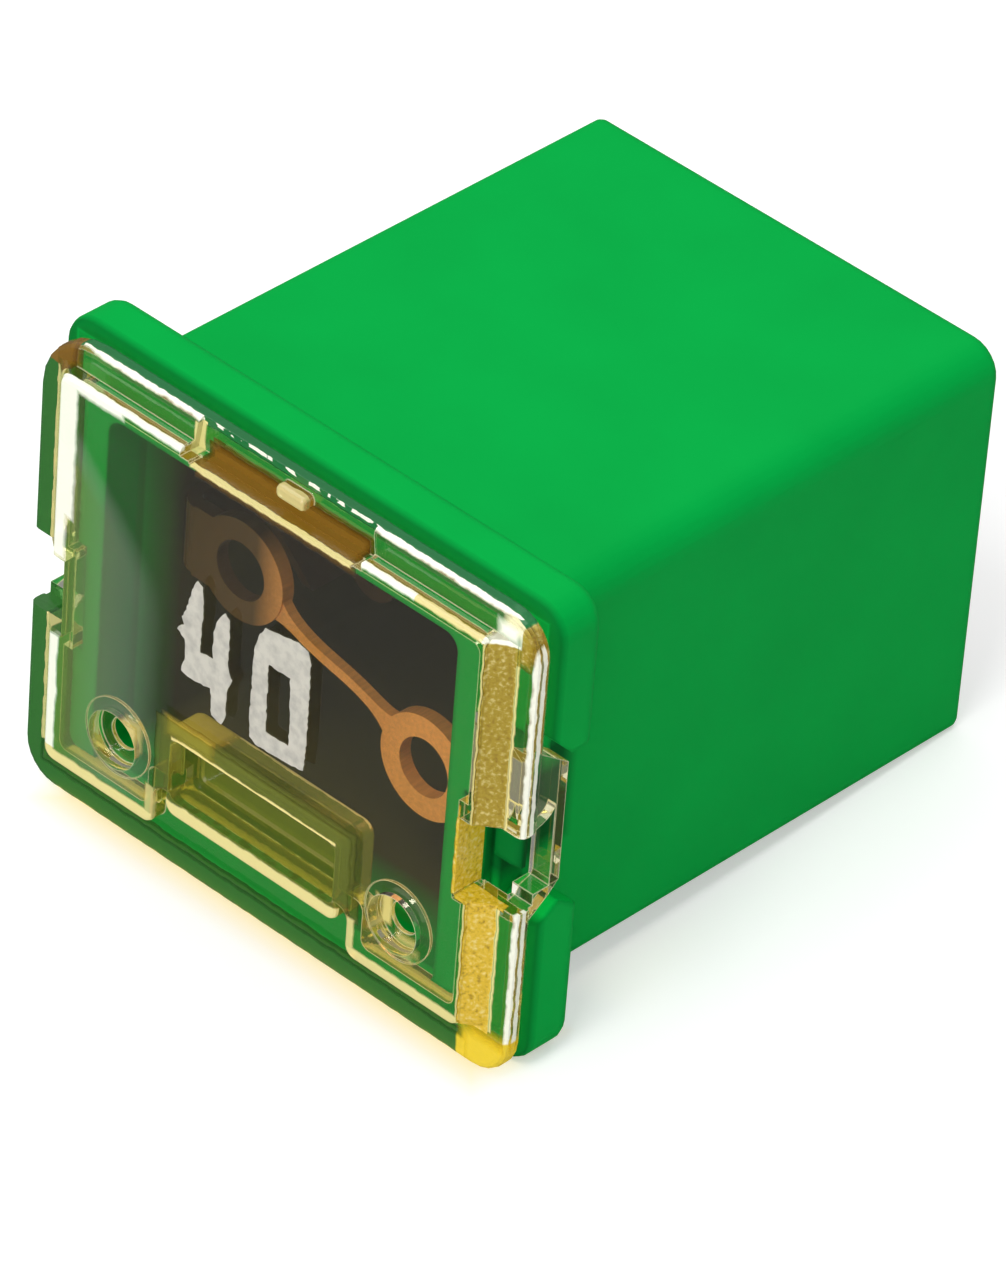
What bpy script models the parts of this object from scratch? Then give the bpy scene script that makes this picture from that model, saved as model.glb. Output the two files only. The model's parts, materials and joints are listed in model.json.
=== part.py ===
"""Mini cartridge fuse, lying on its side with the window end towards -Y.

A green moulded housing holds one stamped element with two blade receptacles, and a clear
amber cover clips over the window end. Metres, +Z up. The pieces are modelled square to the
fuse's own axis, with y = 0 on the front of the cover's border, and hang on one empty that
lays the fuse down on its flange and on the rear edge of its housing.
"""

import math

import bmesh
import bpy
from mathutils import Vector

MM = 0.001

# Body behind the flange
BODY_WIDTH = 12.5 * MM
BODY_HEIGHT = 10.6 * MM
BODY_LENGTH = 14.45 * MM
BODY_CORNER_RADIUS = 0.25 * MM
BODY_SOFT_CORNER_RADIUS = 0.8 * MM
BODY_EDGE_RADIUS = 0.18 * MM

# Flange round the window end
FLANGE_SIDE_OVERHANG = 1.4 * MM
FLANGE_TOP_OVERHANG = 0.925 * MM
FLANGE_THICKNESS = 1.3 * MM
FLANGE_CORNER_RADIUS = 0.8 * MM
FLANGE_EDGE_RADIUS = 0.2 * MM

# Cavity and blade slots
SIDE_WALL = 0.86 * MM
TOP_WALL = 0.5 * MM
REAR_WALL = 1.6 * MM
CAVITY_CORNER_RADIUS = 0.4 * MM
SLOT_WIDTH = 1.6 * MM
SLOT_HEIGHT = 7.0 * MM
SLOT_CHAMFER = 0.3 * MM

# Collar round the mouth, which stands in the window's tub
COLLAR_GAP = 0.24 * MM
COLLAR_CLEARANCE = 0.08 * MM
COLLAR_NOTCH_WIDTH = 4.2 * MM

# Cover
SEAM_GAP = 0.28 * MM
BORDER_THICKNESS = 0.46 * MM
BORDER_SIDE = 1.07 * MM
BORDER_TOP = 0.65 * MM
BORDER_BOTTOM = 1.2 * MM
COVER_CORNER_RADIUS = 1.0 * MM
COVER_SOFT_CORNER_RADIUS = 1.7 * MM
COVER_FRONT_RADIUS = 0.18 * MM
COVER_BACK_RADIUS = 0.07 * MM
WINDOW_RISE = 0.43 * MM
WINDOW_THICKNESS = 0.41 * MM
WINDOW_SIDE_WALL = 0.33 * MM
WINDOW_SIDE_SPREAD = 0.5 * MM
WINDOW_TOP_WALL = 0.38 * MM
WINDOW_CORNER_RADIUS = 0.3 * MM
WINDOW_EDGE_RADIUS = 0.08 * MM

# Recess in the cover's top edge, and the moulding gate left in it
RECESS_WIDTH = 5.0 * MM
RECESS_DEPTH = 0.27 * MM
RECESS_END_SLOPE = 0.3 * MM
BORDER_RECESS_DEPTH = 0.16 * MM
BORDER_RECESS_SLANT = 0.25 * MM
PLANE_STEP = 0.04 * MM
GATE_OFFSET = 0.3 * MM
GATE_WIDTH = 0.9 * MM
GATE_HEIGHT = 0.36 * MM
GATE_RISE = 0.16 * MM

# Pocket sunk low in the window, and the bite that the window's bottom edge makes round it
POCKET_WIDTH = 5.2 * MM
POCKET_HEIGHT = 1.7 * MM
POCKET_LIFT = 1.05 * MM
POCKET_DEPTH = 1.03 * MM
POCKET_WALL = 0.25 * MM
POCKET_RADIUS = 0.12 * MM
SILL_WALL = 0.43 * MM
SILL_SHOULDER = 0.12 * MM
SILL_STEP = 0.03 * MM
BITE_GAP = 0.33 * MM
BITE_OVERLAP = 0.12 * MM

# Test-probe wells beside the pocket
WELL_INSET = 2.15 * MM
WELL_LIFT = 1.62 * MM
WELL_RADIUS = 0.74 * MM
WELL_WALL = 0.27 * MM
WELL_DEPTH = 0.4 * MM
WELL_FLOOR = 0.1 * MM
PROBE_HOLE_RADIUS = 0.4 * MM

# Latch loops on the cover and catches on the housing
LOOP_THICKNESS = 0.62 * MM
LOOP_REACH = 0.92 * MM
LOOP_BAR = 0.3 * MM
LOOP_TOP_FRONT = 2.7 * MM
LOOP_TOP_BACK = 2.05 * MM
LOOP_WINDOW_TOP = 1.05 * MM
LOOP_WINDOW_BOTTOM = -1.2 * MM
LOOP_BOTTOM_BACK = -1.45 * MM
LOOP_BOTTOM_FRONT = -1.9 * MM
LATCH_BITE = 0.4 * MM
LATCH_CUT_TOP = 0.6 * MM
LATCH_CUT_BOTTOM = -1.5 * MM
LATCH_WALL = 0.2 * MM
LATCH_WALL_MARGIN = 0.3 * MM
LOOP_CLEARANCE = 0.28 * MM
NOTCH_STEP = 0.2 * MM
CATCH_HEIGHT = 1.5 * MM
CATCH_REACH = 0.85 * MM

# Stamped element
SHEET = 0.36 * MM
ELEMENT_DEPTH = 1.55 * MM
EYE_OFFSET = 2.95 * MM
EYE_DROP = 1.05 * MM
EYE_RADIUS = 1.33 * MM
EYE_HOLE_RADIUS = 0.75 * MM
PAD_HEIGHT = 1.9 * MM
LINK_SHEET = 0.26 * MM
LINK_WIDTH = 0.27 * MM
LINK_END_WIDTH = 1.0 * MM
LINK_BOW = 0.1 * MM
BEND_RADIUS = 0.45 * MM
WALL_CLEARANCE = 0.3 * MM
LEG_LENGTH = 2.2 * MM
SHOULDER_LENGTH = 1.5 * MM
RECEPTACLE_LENGTH = 6.6 * MM
RECEPTACLE_WIDTH = 5.2 * MM
CURL_RADIUS = 0.58 * MM
LIP_LENGTH = 1.25 * MM
LIP_LEAN = 0.14 * MM

CORNER_SEGMENTS = 6
EDGE_SEGMENTS = 2
ROUND_SEGMENTS = 40
OVERLAP = 0.12 * MM
CUT_MARGIN = 1.0 * MM

# Planes and edges that several pieces share
FLANGE_WIDTH = BODY_WIDTH + 2 * FLANGE_SIDE_OVERHANG
FLANGE_HEIGHT = BODY_HEIGHT + 2 * FLANGE_TOP_OVERHANG
BORDER_BACK = BORDER_THICKNESS
FLANGE_FRONT = BORDER_BACK + SEAM_GAP
FLANGE_BACK = FLANGE_FRONT + FLANGE_THICKNESS
REAR = FLANGE_BACK + BODY_LENGTH
CAVITY_REAR = REAR - REAR_WALL
CAVITY_WIDTH = BODY_WIDTH - 2 * SIDE_WALL
CAVITY_HEIGHT = BODY_HEIGHT - 2 * TOP_WALL
WINDOW_FRONT = -WINDOW_RISE
WINDOW_BACK = WINDOW_FRONT + WINDOW_THICKNESS
WINDOW_SIDE = FLANGE_WIDTH / 2 - BORDER_SIDE
WINDOW_BOTTOM = BORDER_BOTTOM - FLANGE_HEIGHT / 2
WINDOW_TOP = FLANGE_HEIGHT / 2 - BORDER_TOP
COLLAR_FRONT = WINDOW_BACK + COLLAR_GAP
POCKET_BOTTOM = WINDOW_BOTTOM + POCKET_LIFT
POCKET_TOP = POCKET_BOTTOM + POCKET_HEIGHT
POCKET_FLOOR = WINDOW_FRONT + POCKET_DEPTH
SILL_SIDE = POCKET_WIDTH / 2 + SILL_SHOULDER
WELL_X = WINDOW_SIDE - WELL_INSET
WELL_Z = WINDOW_BOTTOM + WELL_LIFT
LOOP_BACK = BORDER_BACK + LOOP_REACH
LOOP_INNER_BACK = LOOP_BACK - LOOP_BAR
ELEMENT_PLANE = FLANGE_FRONT + ELEMENT_DEPTH
LEG_PLANE = CAVITY_WIDTH / 2 - WALL_CLEARANCE - SHEET / 2
RECEPTACLE_REAR = CAVITY_REAR - WALL_CLEARANCE
RECEPTACLE_FRONT = RECEPTACLE_REAR - RECEPTACLE_LENGTH
BLADE_PLANE = LEG_PLANE - CURL_RADIUS
REST_TILT = math.atan2(FLANGE_HEIGHT / 2 - BODY_HEIGHT / 2, REAR - FLANGE_BACK)


def clear_scene():
    for old in list(bpy.data.objects):
        bpy.data.objects.remove(old, do_unlink=True)


def new_collection(name):
    made = bpy.data.collections.new(name)
    bpy.context.scene.collection.children.link(made)
    return made


def new_material(name, colour, roughness, metallic=0.0, alpha=1.0):
    made = bpy.data.materials.new(name)
    made.use_nodes = True
    shader = made.node_tree.nodes["Principled BSDF"]
    shader.inputs["Base Color"].default_value = (*colour, 1.0)
    shader.inputs["Roughness"].default_value = roughness
    shader.inputs["Metallic"].default_value = metallic
    shader.inputs["Alpha"].default_value = alpha
    made.diffuse_color = (*colour, alpha)
    return made


def object_from(name, bm, collection, material=None):
    """Turn a bmesh into an object, with its faces pointing out."""
    bmesh.ops.recalc_face_normals(bm, faces=bm.faces)
    mesh = bpy.data.meshes.new(name)
    bm.to_mesh(mesh)
    bm.free()
    made = bpy.data.objects.new(name, mesh)
    if material:
        mesh.materials.append(material)
    collection.objects.link(made)
    made.parent = ROOT
    return made


def as_tool(made):
    """Mark an object as a shape that only joins or cuts another."""
    made.hide_render = True
    made.display_type = "WIRE"
    return made


def boolean(target, tool, operation):
    modifier = target.modifiers.new(f"{operation.title()} {tool.name}", "BOOLEAN")
    modifier.operation = operation
    modifier.solver = "EXACT"
    modifier.object = tool


def cut(target, tool):
    boolean(target, as_tool(tool), "DIFFERENCE")


def join(target, tool):
    boolean(target, as_tool(tool), "UNION")


def box_mesh(low, high):
    """A bmesh box between two corners."""
    bm = bmesh.new()
    bmesh.ops.create_cube(bm, size=1.0)
    low = Vector(low)
    high = Vector(high)
    for vert in bm.verts:
        share = vert.co + Vector((0.5, 0.5, 0.5))
        vert.co = low + Vector(a * b for a, b in zip(share, high - low))
    return bm


def bevel_where(bm, radius, segments, test):
    """Round the edges whose two ends pass a test."""
    chosen = [edge for edge in bm.edges if test(edge.verts[0].co, edge.verts[1].co)]
    bmesh.ops.bevel(bm, geom=chosen, offset=radius, segments=segments, profile=0.5, affect="EDGES")


def along_y(a, b):
    return abs(a.x - b.x) < 1e-7 and abs(a.z - b.z) < 1e-7


def rounded_block(low, high, corner, front=0.0, back=0.0):
    """A box with round corners seen from the front, and round front and back edges."""
    bm = box_mesh(low, high)
    bevel_where(bm, corner, CORNER_SEGMENTS, along_y)
    near, far = low[1], high[1]
    if front:
        bevel_where(bm, front, EDGE_SEGMENTS, lambda a, b: abs(a.y - near) + abs(b.y - near) < 1e-7)
    if back:
        bevel_where(bm, back, EDGE_SEGMENTS, lambda a, b: abs(a.y - far) + abs(b.y - far) < 1e-7)
    return bm


def centred_block(width, height, near, far, corner, front=0.0, back=0.0, lift=0.0):
    low = (-width / 2, near, lift - height / 2)
    high = (width / 2, far, lift + height / 2)
    return rounded_block(low, high, corner, front, back)


def prism(outline, axis, start, end):
    """An outline of two coordinates drawn out along X, Y or Z."""
    place = {
        "X": lambda u, v, w: (w, u, v),
        "Y": lambda u, v, w: (u, w, v),
        "Z": lambda u, v, w: (u, v, w),
    }[axis]
    bm = bmesh.new()
    base = bm.faces.new([bm.verts.new(place(u, v, start)) for u, v in outline])
    drawn = bmesh.ops.extrude_face_region(bm, geom=[base])
    moved = [item for item in drawn["geom"] if isinstance(item, bmesh.types.BMVert)]
    bmesh.ops.translate(bm, vec=Vector(place(0, 0, end - start)), verts=moved)
    return bm


def cylinder(radius, centre_x, centre_z, near, far, far_radius=None):
    """A round bar or cone along Y."""
    bm = bmesh.new()
    bmesh.ops.create_cone(
        bm,
        cap_ends=True,
        segments=ROUND_SEGMENTS,
        radius1=radius,
        radius2=radius if far_radius is None else far_radius,
        depth=far - near,
    )
    for vert in bm.verts:
        x, y, z = vert.co
        vert.co = (centre_x + x, (near + far) / 2 + z, centre_z - y)
    return bm


def arc(centre, radius, start, end, steps):
    """Points along an arc, with angles in degrees."""
    points = []
    for step in range(steps + 1):
        angle = math.radians(start + (end - start) * step / steps)
        points.append((centre[0] + radius * math.cos(angle), centre[1] + radius * math.sin(angle)))
    return points


def strip(rows, thickness, name, collection):
    """A bent strip of sheet: rows of points, one row across each station, made solid."""
    bm = bmesh.new()
    grid = [[bm.verts.new(point) for point in row] for row in rows]
    for near, far in zip(grid, grid[1:]):
        for k in range(len(near) - 1):
            bm.faces.new((near[k], near[k + 1], far[k + 1], far[k]))
    made = object_from(name, bm, collection)
    solid = made.modifiers.new("Sheet", "SOLIDIFY")
    solid.thickness = thickness
    solid.offset = 0.0
    solid.use_even_offset = True
    return made


def make_housing(parts, tools, material):
    """One-piece moulding: a flange round an open box, catches, and two blade slots."""
    housing = object_from(
        "housing",
        centred_block(
            FLANGE_WIDTH, FLANGE_HEIGHT, FLANGE_FRONT, FLANGE_BACK,
            FLANGE_CORNER_RADIUS, FLANGE_EDGE_RADIUS, FLANGE_EDGE_RADIUS,
        ),
        parts,
        material,
    )
    for side in (-1, 1):
        cut(housing, make_flange_notch(tools, side))
    join(housing, make_body(tools))
    join(housing, make_collar(tools))
    for side in (-1, 1):
        cut(housing, make_latch_room(tools, side))
        join(housing, make_catch(tools, side))
    cavity = centred_block(
        CAVITY_WIDTH, CAVITY_HEIGHT, FLANGE_FRONT - CUT_MARGIN, CAVITY_REAR, CAVITY_CORNER_RADIUS
    )
    cut(housing, object_from("cavity_cutter", cavity, tools))
    cut(housing, make_collar_notch(tools))
    for side in (-1, 1):
        cut(housing, make_blade_slot(tools, side))
    return housing


def make_body(tools):
    """Box behind the flange; one of its long edges is softer than the others."""
    low = (-BODY_WIDTH / 2, FLANGE_BACK - OVERLAP * 4, -BODY_HEIGHT / 2)
    high = (BODY_WIDTH / 2, REAR, BODY_HEIGHT / 2)
    bm = box_mesh(low, high)
    bevel_where(
        bm, BODY_SOFT_CORNER_RADIUS, CORNER_SEGMENTS, lambda a, b: along_y(a, b) and a.x > 0 and a.z > 0
    )
    bevel_where(
        bm, BODY_CORNER_RADIUS, EDGE_SEGMENTS * 2, lambda a, b: along_y(a, b) and min(a.x, a.z) < 0
    )
    bevel_where(bm, BODY_EDGE_RADIUS, EDGE_SEGMENTS, lambda a, b: abs(a.y - REAR) + abs(b.y - REAR) < 1e-7)
    return object_from("body_block", bm, tools)


def make_collar(tools):
    """Raised rim round the cavity's mouth, at its sides and top."""
    half = WINDOW_SIDE - WINDOW_SIDE_WALL - COLLAR_CLEARANCE
    low = (-half, COLLAR_FRONT, WINDOW_BOTTOM + WINDOW_SIDE_WALL + COLLAR_CLEARANCE)
    high = (half, FLANGE_FRONT + OVERLAP, WINDOW_TOP - WINDOW_TOP_WALL - COLLAR_CLEARANCE)
    return object_from("collar", rounded_block(low, high, WINDOW_CORNER_RADIUS), tools)


def make_flange_notch(tools, side):
    """Room in the flange's side for the cover's latch loop."""
    outline = [
        (FLANGE_FRONT - CUT_MARGIN, LOOP_TOP_FRONT + LOOP_CLEARANCE),
        (FLANGE_FRONT, LOOP_TOP_FRONT + LOOP_CLEARANCE),
        (LOOP_BACK, LOOP_TOP_BACK + LOOP_CLEARANCE),
        (FLANGE_BACK + CUT_MARGIN, LOOP_TOP_BACK + LOOP_CLEARANCE),
        (FLANGE_BACK + CUT_MARGIN, LOOP_BOTTOM_FRONT - LOOP_CLEARANCE),
        (FLANGE_BACK, LOOP_BOTTOM_FRONT - LOOP_CLEARANCE),
        (LOOP_BACK, LOOP_BOTTOM_BACK - LOOP_CLEARANCE),
        (FLANGE_FRONT, LOOP_BOTTOM_FRONT - LOOP_CLEARANCE),
        (FLANGE_FRONT - CUT_MARGIN, LOOP_BOTTOM_FRONT - LOOP_CLEARANCE),
    ]
    floor = BODY_WIDTH / 2 + NOTCH_STEP
    outside = FLANGE_WIDTH / 2 + CUT_MARGIN
    bm = prism(outline, "X", side * floor, side * outside)
    return object_from(f"flange_notch_{side}", bm, tools)


def make_catch(tools, side):
    """Ramped catch that the latch loop snaps over."""
    root = BODY_WIDTH / 2
    step = root + NOTCH_STEP
    back = LOOP_INNER_BACK - LOOP_CLEARANCE
    outline = [
        (root - OVERLAP, back + LOOP_CLEARANCE),
        (root - OVERLAP, FLANGE_FRONT + OVERLAP),
        (step - OVERLAP, FLANGE_FRONT - OVERLAP),
        (step + CATCH_REACH * 0.45, FLANGE_FRONT - OVERLAP),
        (root + CATCH_REACH, back - OVERLAP),
        (root + CATCH_REACH, back),
        (step, back + OVERLAP),
    ]
    outline = [(side * x, y) for x, y in outline]
    middle = (LOOP_WINDOW_TOP + LOOP_WINDOW_BOTTOM) / 2
    bm = prism(outline, "Z", middle - CATCH_HEIGHT / 2, middle + CATCH_HEIGHT / 2)
    return object_from(f"catch_{side}", bm, tools)


def latch_wall_block(side, grown):
    """Where the window's side is thicker behind the latch opening."""
    inner = WINDOW_SIDE - LATCH_BITE - LATCH_WALL - grown
    outer = WINDOW_SIDE - WINDOW_SIDE_WALL + OVERLAP + grown
    ends = sorted((side * inner, side * outer))
    low = (ends[0], WINDOW_BACK - OVERLAP - grown, LATCH_CUT_BOTTOM - LATCH_WALL_MARGIN - grown)
    high = (ends[1], BORDER_BACK - PLANE_STEP + grown, LATCH_CUT_TOP + LATCH_WALL_MARGIN + grown)
    return box_mesh(low, high)


def make_latch_room(tools, side):
    """Room in the collar for the thicker wall behind the latch opening."""
    return object_from(f"latch_room_{side}", latch_wall_block(side, COLLAR_CLEARANCE), tools)


def make_collar_notch(tools):
    """Notch through the collar over the middle of the mouth."""
    half = COLLAR_NOTCH_WIDTH / 2
    low = (-half, COLLAR_FRONT - CUT_MARGIN, 0.0)
    high = (half, FLANGE_FRONT - PLANE_STEP, WINDOW_TOP)
    return object_from("collar_notch", box_mesh(low, high), tools)


def make_blade_slot(tools, side):
    """Slot through the rear wall for one blade, with a lead-in round its mouth."""
    x = side * BLADE_PLANE
    low = (x - SLOT_WIDTH / 2, CAVITY_REAR - CUT_MARGIN, -SLOT_HEIGHT / 2)
    high = (x + SLOT_WIDTH / 2, REAR + CUT_MARGIN, SLOT_HEIGHT / 2)
    bm = box_mesh(low, high)
    everything = bm.verts[:] + bm.edges[:] + bm.faces[:]
    bmesh.ops.bisect_plane(bm, geom=everything, plane_co=(0, REAR - SLOT_CHAMFER, 0), plane_no=(0, 1, 0))
    grown = SLOT_CHAMFER + CUT_MARGIN
    for vert in bm.verts:
        if vert.co.y > REAR:
            vert.co.x += grown if vert.co.x > x else -grown
            vert.co.z += grown if vert.co.z > 0 else -grown
    return object_from(f"blade_slot_{side}", bm, tools)


def make_cover(parts, tools, material):
    """One-piece clear cap: border, raised window, pocket, probe wells and latch loops."""
    cover = object_from("cover", border_plate(), parts, material)
    join(cover, make_window(tools))
    cut(cover, make_window_hollow(tools))
    cut(cover, make_border_recess(tools))
    cut(cover, make_window_recess(tools))
    join(cover, make_gate(tools))
    join(cover, make_pocket_walls(tools))
    join(cover, make_sill(tools))
    cut(cover, make_pocket_cutter(tools))
    for side in (-1, 1):
        x = side * WELL_X
        floor = WINDOW_FRONT + WELL_DEPTH
        boss = cylinder(WELL_RADIUS + WELL_WALL, x, WELL_Z, WINDOW_BACK - OVERLAP, floor + WELL_FLOOR)
        join(cover, object_from(f"well_boss_{side}", boss, tools))
        well = cylinder(WELL_RADIUS, x, WELL_Z, WINDOW_FRONT - CUT_MARGIN, floor)
        cut(cover, object_from(f"well_{side}", well, tools))
        hole = cylinder(PROBE_HOLE_RADIUS, x, WELL_Z, WINDOW_FRONT - CUT_MARGIN, BORDER_BACK + CUT_MARGIN)
        cut(cover, object_from(f"probe_hole_{side}", hole, tools))
        join(cover, object_from(f"latch_wall_{side}", latch_wall_block(side, 0.0), tools))
        join(cover, make_loop(tools, side))
        cut(cover, make_latch_cut(tools, side))
    return cover


def border_plate():
    """Flat border of the cover; its upper left corner is rounder than the others."""
    low = (-FLANGE_WIDTH / 2, 0.0, -FLANGE_HEIGHT / 2)
    high = (FLANGE_WIDTH / 2, BORDER_BACK, FLANGE_HEIGHT / 2)
    bm = box_mesh(low, high)
    bevel_where(
        bm, COVER_SOFT_CORNER_RADIUS, CORNER_SEGMENTS, lambda a, b: along_y(a, b) and a.x < 0 and a.z > 0
    )
    bevel_where(
        bm, COVER_CORNER_RADIUS, CORNER_SEGMENTS, lambda a, b: along_y(a, b) and (a.x > 0 or a.z < 0)
    )
    bevel_where(bm, COVER_FRONT_RADIUS, EDGE_SEGMENTS + 1, lambda a, b: abs(a.y) + abs(b.y) < 1e-7)
    back = BORDER_BACK
    bevel_where(
        bm, COVER_BACK_RADIUS, EDGE_SEGMENTS, lambda a, b: abs(a.y - back) + abs(b.y - back) < 1e-7
    )
    return bm


def window_outline(side_inset, top_inset):
    """The window seen from the front: a rectangle with a bite in its bottom edge round the pocket."""
    side = WINDOW_SIDE - side_inset
    top = WINDOW_TOP - top_inset
    bottom = WINDOW_BOTTOM + side_inset
    bite_side = SILL_SIDE + BITE_GAP + side_inset
    bite_top = POCKET_BOTTOM + BITE_OVERLAP + side_inset
    return [
        (-side, bottom),
        (-bite_side, bottom),
        (-bite_side, bite_top),
        (bite_side, bite_top),
        (bite_side, bottom),
        (side, bottom),
        (side, top),
        (-side, top),
    ]


def make_window(tools):
    """The raised front of the cover."""
    bm = prism(window_outline(0.0, 0.0), "Y", WINDOW_FRONT, BORDER_BACK - OVERLAP)
    bevel_where(bm, WINDOW_CORNER_RADIUS, CORNER_SEGMENTS, along_y)
    near = WINDOW_FRONT
    bevel_where(
        bm, WINDOW_EDGE_RADIUS, EDGE_SEGMENTS, lambda a, b: abs(a.y - near) + abs(b.y - near) < 1e-7
    )
    spread = WINDOW_SIDE_SPREAD / WINDOW_RISE * (BORDER_BACK - OVERLAP - WINDOW_FRONT)
    for vert in bm.verts:
        if vert.co.y > 0 and abs(vert.co.x) > WINDOW_SIDE - WINDOW_CORNER_RADIUS - PLANE_STEP:
            vert.co.x += math.copysign(spread, vert.co.x)
    return object_from("window_block", bm, tools)


def make_window_hollow(tools):
    """The room behind the window, which makes it a tub with walls."""
    outline = window_outline(WINDOW_SIDE_WALL, WINDOW_TOP_WALL)
    bm = prism(outline, "Y", WINDOW_BACK, BORDER_BACK + CUT_MARGIN)
    bevel_where(bm, WINDOW_CORNER_RADIUS * 0.8, CORNER_SEGMENTS, along_y)
    return object_from("window_hollow", bm, tools)


def make_window_recess(tools):
    """Shallow trapezoid taken out of the window's top edge."""
    half = RECESS_WIDTH / 2
    rise = RECESS_DEPTH + CUT_MARGIN
    spread = RECESS_END_SLOPE * rise / RECESS_DEPTH
    outline = [
        (-half, WINDOW_TOP - RECESS_DEPTH),
        (half, WINDOW_TOP - RECESS_DEPTH),
        (half + spread, WINDOW_TOP - RECESS_DEPTH + rise),
        (-half - spread, WINDOW_TOP - RECESS_DEPTH + rise),
    ]
    return object_from("window_recess", prism(outline, "Y", WINDOW_FRONT - CUT_MARGIN, -PLANE_STEP), tools)


def make_border_recess(tools):
    """Front of the border stands back over the same width, with slanted ends."""
    half = RECESS_WIDTH / 2 + RECESS_END_SLOPE
    low = WINDOW_TOP - RECESS_DEPTH + PLANE_STEP
    high = FLANGE_HEIGHT / 2 + CUT_MARGIN
    narrow = half - BORDER_RECESS_SLANT
    outline = [(-half, low), (half, low), (narrow, high), (-narrow, high)]
    return object_from("border_recess", prism(outline, "Y", -CUT_MARGIN, BORDER_RECESS_DEPTH), tools)


def make_gate(tools):
    """Trimmed moulding gate on the border, in the middle of the recess."""
    middle = (WINDOW_TOP - RECESS_DEPTH + FLANGE_HEIGHT / 2) / 2
    low = (GATE_OFFSET - GATE_WIDTH / 2, -GATE_RISE, middle - GATE_HEIGHT / 2)
    high = (GATE_OFFSET + GATE_WIDTH / 2, BORDER_RECESS_DEPTH + OVERLAP, middle + GATE_HEIGHT / 2)
    return object_from("gate", rounded_block(low, high, GATE_HEIGHT * 0.4, GATE_RISE * 0.6), tools)


def make_pocket_walls(tools):
    """Back of the sunk pocket, behind the window."""
    half = POCKET_WIDTH / 2 + POCKET_WALL
    low = (-half, WINDOW_BACK + PLANE_STEP * 2, POCKET_BOTTOM - SILL_WALL + PLANE_STEP)
    high = (half, POCKET_FLOOR + POCKET_WALL, POCKET_TOP + POCKET_WALL)
    return object_from("pocket_walls", rounded_block(low, high, POCKET_RADIUS * 3, 0.0, POCKET_RADIUS), tools)


def make_sill(tools):
    """Bottom wall of the pocket, which stands in the bite almost up to the window's front."""
    low = (-SILL_SIDE, WINDOW_FRONT + SILL_STEP, POCKET_BOTTOM - SILL_WALL)
    high = (SILL_SIDE, POCKET_FLOOR - OVERLAP, POCKET_BOTTOM + BITE_OVERLAP * 2)
    return object_from("sill", rounded_block(low, high, POCKET_RADIUS * 2.5, WINDOW_EDGE_RADIUS), tools)


def make_pocket_cutter(tools):
    half = POCKET_WIDTH / 2
    low = (-half, WINDOW_FRONT - CUT_MARGIN, POCKET_BOTTOM)
    high = (half, POCKET_FLOOR, POCKET_TOP)
    bm = rounded_block(low, high, POCKET_RADIUS * 2, 0.0, POCKET_RADIUS)
    return object_from("pocket_cutter", bm, tools)


def make_latch_cut(tools, side):
    """Opening through the border and the window's side, with an arched top, in front of the catch."""
    inner = WINDOW_SIDE - LATCH_BITE
    ends = sorted((side * inner, side * (FLANGE_WIDTH / 2 + CUT_MARGIN)))
    outline = [
        (WINDOW_FRONT - CUT_MARGIN, LATCH_CUT_BOTTOM),
        (BORDER_BACK + OVERLAP, LATCH_CUT_BOTTOM),
        (BORDER_BACK + OVERLAP, LOOP_WINDOW_BOTTOM),
        (LOOP_INNER_BACK, LOOP_WINDOW_BOTTOM),
    ]
    rise = LOOP_WINDOW_TOP - LATCH_CUT_TOP
    run = LOOP_INNER_BACK - BORDER_BACK / 2
    for step in range(CORNER_SEGMENTS + 1):
        turn = math.radians(90 * step / CORNER_SEGMENTS)
        outline.append((BORDER_BACK / 2 + run * math.cos(turn), LOOP_WINDOW_TOP - rise * math.sin(turn)))
    outline.append((WINDOW_FRONT - CUT_MARGIN, LATCH_CUT_TOP))
    return object_from(f"latch_cut_{side}", prism(outline, "X", ends[0], ends[1]), tools)


def make_loop(tools, side):
    """Latch loop: a bracket that stands back from the border and passes over the catch."""
    near = OVERLAP
    outline = [
        (near, LOOP_TOP_FRONT),
        (BORDER_BACK, LOOP_TOP_FRONT),
        (LOOP_BACK, LOOP_TOP_BACK),
        (LOOP_BACK, LOOP_BOTTOM_BACK + LOOP_BAR),
        (LOOP_BACK - LOOP_BAR, LOOP_BOTTOM_BACK),
        (BORDER_BACK, LOOP_BOTTOM_FRONT),
        (near, LOOP_BOTTOM_FRONT),
    ]
    outer = FLANGE_WIDTH / 2 - COVER_BACK_RADIUS
    bm = prism(outline, "X", side * (outer - LOOP_THICKNESS), side * outer)
    return object_from(f"latch_loop_{side}", bm, tools)


def make_element(parts, tools, material):
    """Stamped and folded strip: link, two eyes, two legs and two rolled receptacles."""
    element = object_from("fuse_element", make_link(), parts, material)
    solid = element.modifiers.new("Sheet", "SOLIDIFY")
    solid.thickness = LINK_SHEET
    solid.offset = 0.0
    for side in (-1, 1):
        eye = object_from(f"eye_{side}", make_eye(side), tools)
        join(element, eye)
        hole = cylinder(
            EYE_HOLE_RADIUS, side * EYE_OFFSET, -side * EYE_DROP,
            ELEMENT_PLANE - SHEET - CUT_MARGIN, ELEMENT_PLANE + SHEET + CUT_MARGIN,
        )
        cut(element, object_from(f"eye_hole_{side}", hole, tools))
        join(element, make_leg(tools, side))
        join(element, make_receptacle(tools, side))
    return element


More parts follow.
